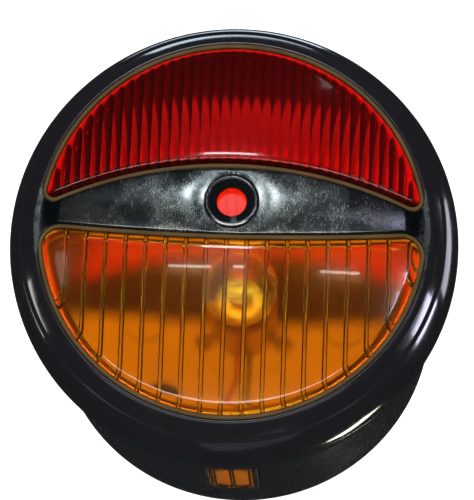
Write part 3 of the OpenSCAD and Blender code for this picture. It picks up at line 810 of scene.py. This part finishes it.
def bulb():
    """Clear glass of the bulb: a round globe that flows into its neck."""
    low = glass_low.y
    globe_r = glass_high.x
    centre = low + globe_r
    neck_r, end, wall = 6.3, glass_high.y, 0.45

    def section(shrink):
        globe = arc_points(0, centre, globe_r - shrink, -90, 38, 40)
        radius, y = globe[-1]
        neck = []
        for i in range(1, 13):
            t = i / 12
            neck.append((radius + (neck_r - shrink - radius) * smooth_step(t),
                         y + (end - 2.5 - y) * t))
        return globe + neck + [(neck_r - shrink, end)]

    whole = section(0.0) + section(wall)[::-1]
    whole[0], whole[-1] = (0.0, low), (0.0, low + wall)
    points, faces = lathe(whole, 96, closed=False)
    return new_piece("bulb_globe", points, faces, [CLEAR_GLASS], "bulb",
                     ["bulb_glass"], sharp=50)


def studs():
    """Two captive studs with rolled threads and round heads."""
    low, high = cad("mounting_studs")
    pitch, depth, radius = 0.8, 0.42, STUD_R
    parts = []
    for x in ((low.x + high.x) / 2 - STUD_X, (low.x + high.x) / 2 + STUD_X):
        around = 48
        start, end = 0.6, high.y - 0.8
        count = int((end - start) / pitch * 12)
        rings = []
        for i in range(count + 1):
            y = start + (end - start) * i / count
            fade = smooth_step((y - start) / 1.2) * smooth_step((end - y) / 0.8)
            ring = []
            for k in range(around):
                turn = 2 * math.pi * k / around
                phase = (y / pitch - k / around) % 1.0
                r = radius - depth * fade * abs(2 * phase - 1)
                ring.append((x + r * math.cos(turn), y, r * math.sin(turn)))
            rings.append(ring)

        def plain(r, y):
            turns = [2 * math.pi * k / around for k in range(around)]
            return [(x + r * math.cos(turn), y, r * math.sin(turn)) for turn in turns]

        head_r = 5.5
        head = [plain(0.01, low.y), plain(head_r - 0.5, low.y), plain(head_r, low.y + 0.4),
                plain(head_r, low.y + 2.1), plain(radius, low.y + 2.2),
                plain(radius, start - 0.05)]
        rings = head + rings + [plain(radius - 0.6, high.y), plain(0.01, high.y)]
        points = [p for ring in rings for p in ring]
        parts.append((points, grid_faces(len(rings), around, wrap_columns=True)))
    points, faces = join(*parts)
    painted = [1 if all(points[i][1] < low.y + 2.3 for i in face) else 0 for face in faces]
    return new_piece("threaded_studs", points, faces, [ZINC, WHITE], "housing",
                     ["mounting_studs"], sharp=30, face_slots=painted)


def mounting_pad():
    """Rubber pad with a rounded edge and moulded rings on the face that lies on the vehicle."""
    low, high = cad("mounting_pad")
    radius = high.x
    section = [(0.0, low.y), (radius, low.y), (radius, high.y), (radius - 2.4, high.y)]
    r = radius - 2.4
    while r > 16.0:
        groove = high.y - 0.35
        section += [(r - 0.25, groove), (r - 0.75, groove), (r - 1.0, high.y), (r - 2.2, high.y)]
        r -= 2.2
    section.append((0.0, high.y))
    rounded = [section[0]] + round_corners(section, 0.3, 3)[1:-1] + [section[-1]]
    rounded = [(x, y) for x, y in rounded if x > 0.0 or y in (low.y, high.y)]
    points, faces = lathe(rounded, 180, closed=False)
    piece = new_piece("rubber_pad", points, faces, [RUBBER], "housing",
                      ["mounting_pad"], sharp=40)
    grommet_low, grommet_high = cad("cable_grommet")
    cut_hole(piece, 6.0, (grommet_low.x + grommet_high.x) / 2, (grommet_low.z + grommet_high.z) / 2,
             low.y - 1, high.y + 1)
    for x in (-STUD_X, STUD_X):
        cut_hole(piece, STUD_R + 0.3, x, 0.0, low.y - 1, high.y + 1)
    for angle in (90, 210, 330):
        turn = math.radians(angle)
        cut_hole(piece, 2.0, SCREW_CIRCLE * math.cos(turn), SCREW_CIRCLE * math.sin(turn),
                 low.y - 1, high.y + 1)
    return piece


def contact_springs():
    """Two small coil springs that shorten as the bulb pushes the contacts in."""
    low, high = cad("contact_springs")
    wire, coil = 0.2, 1.55
    turns, steps, sides = 4, 26, 10
    parts = []
    for x in (low.x + coil + wire, high.x - coil - wire):
        points = []
        count = turns * steps
        for i in range(count + 1):
            turn = 2 * math.pi * i / steps
            y = high.y - wire - (high.y - low.y - 2 * wire) * i / count
            for k in range(sides):
                a = 2 * math.pi * k / sides
                r = coil + wire * math.cos(a)
                points.append((x + r * math.cos(turn), y + wire * math.sin(a), r * math.sin(turn)))
        faces = grid_faces(count + 1, sides, wrap_columns=True)
        faces += [list(range(sides)), [count * sides + k for k in range(sides)]]
        parts.append((points, faces))
    points, faces = join(*parts)
    piece = new_piece("contact_coils", points, faces, [SPRING], "housing",
                      ["contact_springs"], sharp=60)
    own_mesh(piece)
    return piece


bezel()
crossbar()
mounting_pad()
contact_springs()
eyelet()
gasket("red_lens_gasket", RED_WINDOW, "red_gasket")
gasket("amber_lens_gasket", AMBER_WINDOW, "amber_gasket")
lenses()
drum()
plate_glass()
bulb()
studs()

KEPT = {
    GLOSS: ["door_tabs"], BLACK: ["bayonet_lugs"], WHITE: ["socket_flange"],
    OPAL: ["filament_stem"], SPRING: ["plate_clip"],
    RUBBER: ["plate_gasket", "cable_grommet", "door_seal"],
    DARK_STEEL: ["retainer_clips", "lens_retainer"], ZINC: ["socket_screws"],
    BRASS: ["socket_shell", "contact_eyelets", "contact_plungers", "terminal_screws", "earth_tag",
            "bulb_base", "bulb_pins"],
    SOLDER: ["bulb_contacts", "filament_supports"], TUNGSTEN: ["tail_filament", "stop_filament"],
    VITRITE: ["bulb_insulator"], PHENOLIC: ["socket_insulator", "terminal_block"],
    LEAD_RED: ["tail_lead"], LEAD_BLUE: ["stop_lead"], LEAD_BLACK: ["earth_lead"],
}
for material, nodes in KEPT.items():
    for node in nodes:
        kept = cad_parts[node]
        kept.data.materials.clear()
        kept.data.materials.append(material)

# ------------------------------------------------------------------ stage, lights and camera


def stage():
    """A pale floor that curves up into a backdrop. It is clear from behind and from below."""
    floor_z, depth, width, curve = -500.0, 900.0, 2400.0, 350.0
    section = [(-2600.0, floor_z), (depth - curve, floor_z)]
    section += [(depth - curve + curve * math.sin(math.radians(a)),
                 floor_z + curve - curve * math.cos(math.radians(a))) for a in range(6, 91, 6)]
    section.append((depth, 2000.0))
    points = [(x * MM, y * MM, z * MM) for x in (-width, width) for y, z in section]
    mesh = bpy.data.meshes.new("floor")
    mesh.from_pydata(points, [], grid_faces(2, len(section)))
    n = Nodes("floor_paint")
    mesh.materials.append(n.surface((0.82, 0.82, 0.82), 0.9))
    paint = n.out.inputs["Surface"].links[0].from_socket
    one_sided = n.add("ShaderNodeMixShader")
    n.link(n.add("ShaderNodeNewGeometry").outputs["Backfacing"], one_sided.inputs[0])
    n.link(paint, one_sided.inputs[1])
    n.link(n.add("ShaderNodeBsdfTransparent").outputs[0], one_sided.inputs[2])
    n.link(one_sided.outputs[0], n.out.inputs["Surface"])
    if mesh.polygons[0].normal.z < 0:
        mesh.flip_normals()
    for polygon in mesh.polygons:
        polygon.use_smooth = True
    floor = bpy.data.objects.new("floor", mesh)
    bpy.context.scene.collection.objects.link(floor)
    floor.visible_glossy = floor.visible_transmission = floor.visible_shadow = False


def area_light(name, kind, place, target, size, power, colour=(1, 1, 1), size_y=None):
    """A soft light; a gloss one shows only in reflections, and a fill one shows in none."""
    data = bpy.data.lights.new(name, "AREA")
    data.shape = "RECTANGLE"
    data.size, data.size_y = size, size_y or size
    data.energy, data.color = power, colour
    light = bpy.data.objects.new(name, data)
    light.location = place
    light.visible_camera = False
    light.visible_diffuse = kind != "gloss"
    light.visible_glossy = light.visible_transmission = kind != "fill"
    direction = Vector(target) - Vector(place)
    light.rotation_euler = direction.to_track_quat("-Z", "Y").to_euler()
    bpy.context.scene.collection.objects.link(light)
    return light


def lights():
    lamp = (0.0, LIP * MM, 0.0)
    world = bpy.data.worlds.new("room")
    world.use_nodes = True
    background = world.node_tree.nodes["Background"]
    background.inputs["Color"].default_value = (0.8, 0.9, 1.0, 1.0)
    background.inputs["Strength"].default_value = 0.022
    bpy.context.scene.world = world
    area_light("backdrop_light", "fill", (0.0, 0.35, 1.1), (0.0, 0.9, 0.1), 1.6, 40.0)
    area_light("front_key", "fill", (0.0, -1.5, -0.05), lamp, 0.07, 31.0, (1.0, 0.93, 0.84))
    inside = area_light("inside_fill", "fill", (0.0, -0.084, 0.014), (0.0, -0.04, 0.042), 0.06,
                        0.007, (1.0, 0.66, 0.4), 0.012)
    inside.data.spread = math.radians(70)
    bead = area_light("bead_fill", "fill", (0.0, -0.082, 0.004), (0.0, -0.035, 0.0), 0.004, 0.01,
                      (1.0, 0.95, 0.8))
    bead.data.spread = math.radians(8)
    # highlights: name, place, width, power, colour, height; all face the lamp
    highlights = [
        ("bar_column", (-0.08, -1.5, 0.28), 0.14, 0.035, (0.95, 0.98, 1.0), 0.3),
        ("bar_edge", (-0.1, -1.5, -0.26), 1.1, 1.5, (1.0, 0.97, 0.9), 0.1),
        ("bar_spot", (-0.08, -1.45, 0.5), 0.16, 0.7, (0.95, 0.98, 1.0), 0.14),
        ("bar_left", (-0.42, -1.35, 0.42), 0.3, 0.012, (0.85, 0.95, 1.0), 0.15),
        ("top_sheen", (-0.1, 0.68, 0.96), 0.6, 1.6, (0.7, 0.85, 1.0), 0.3),
        ("right_low", (1.16, 0.24, -0.2), 0.3, 4.0, (0.8, 0.78, 1.0), 0.3),
        ("right_high", (1.03, 0.5, 0.28), 0.3, 1.6, (0.85, 0.85, 1.0), 0.5),
        ("right_back", (0.2, 0.294, -0.2), 0.11, 0.17, (1.0, 0.96, 0.78), 0.05),
        ("left_side", (-1.16, 0.31, -0.16), 0.16, 0.7, (1.0, 0.98, 0.95), 0.34),
        ("below", (0.03, -0.02, -0.28), 0.16, 0.008, (0.75, 0.82, 1.0), 0.07),
    ]
    for number, (x, width) in enumerate(((-0.21, 0.148), (-0.04, 0.04), (0.31, 0.14))):
        tube = (f"tube_{number}", (x, -1.6, 0.27), width, 0.26 * width, (1.0, 0.96, 0.9), 0.01)
        highlights.append(tube)
    highlights += [
        ("window_high", (0.44, -1.22, 0.2), 0.04, 0.055, (0.8, 0.75, 1.0), 0.04),
        ("window_low", (0.42, -1.22, 0.12), 0.045, 0.1, (0.8, 0.75, 1.0), 0.085),
        ("left_window", (-0.52, -1.19, 0.2), 0.035, 0.01, (1.0, 0.95, 0.9), 0.1),
        ("high_lamp", (0.176, -1.06, 0.73), 0.03, 0.005, (1.0, 0.95, 0.9), 0.05),
    ]
    for name, place, width, power, colour, height in highlights:
        area_light(name, "gloss", place, lamp, width, power, colour, height)


def camera():
    """A long lens a little below the lamp's axis, looking up at it."""
    aim = Vector((0.0, RIM * MM, 0.0))
    distance, turn, rise, roll = 0.65, math.radians(2.82), math.radians(-15.61), math.radians(2.4)
    back = Vector((math.sin(turn) * math.cos(rise), -math.cos(turn) * math.cos(rise),
                   math.sin(rise)))
    right = (-back).cross(Vector((0, 0, 1))).normalized()
    up = right.cross(-back)
    x_axis = right * math.cos(roll) + up * math.sin(roll)
    y_axis = -right * math.sin(roll) + up * math.cos(roll)
    data = bpy.data.cameras.new("camera")
    data.lens = 205.8
    data.sensor_width = 36.0
    data.shift_x, data.shift_y = 0.0064, -0.0097
    data.clip_start, data.clip_end = 0.05, 20.0
    view = bpy.data.objects.new("camera", data)
    view.matrix_world = Matrix.Translation(aim + back * distance) @ Matrix(
        (x_axis, y_axis, back)).transposed().to_4x4()
    bpy.context.scene.collection.objects.link(view)
    bpy.context.scene.camera = view


stage()
lights()
camera()
bpy.context.scene.view_settings.view_transform = "Standard"

bpy.context.view_layer.update()
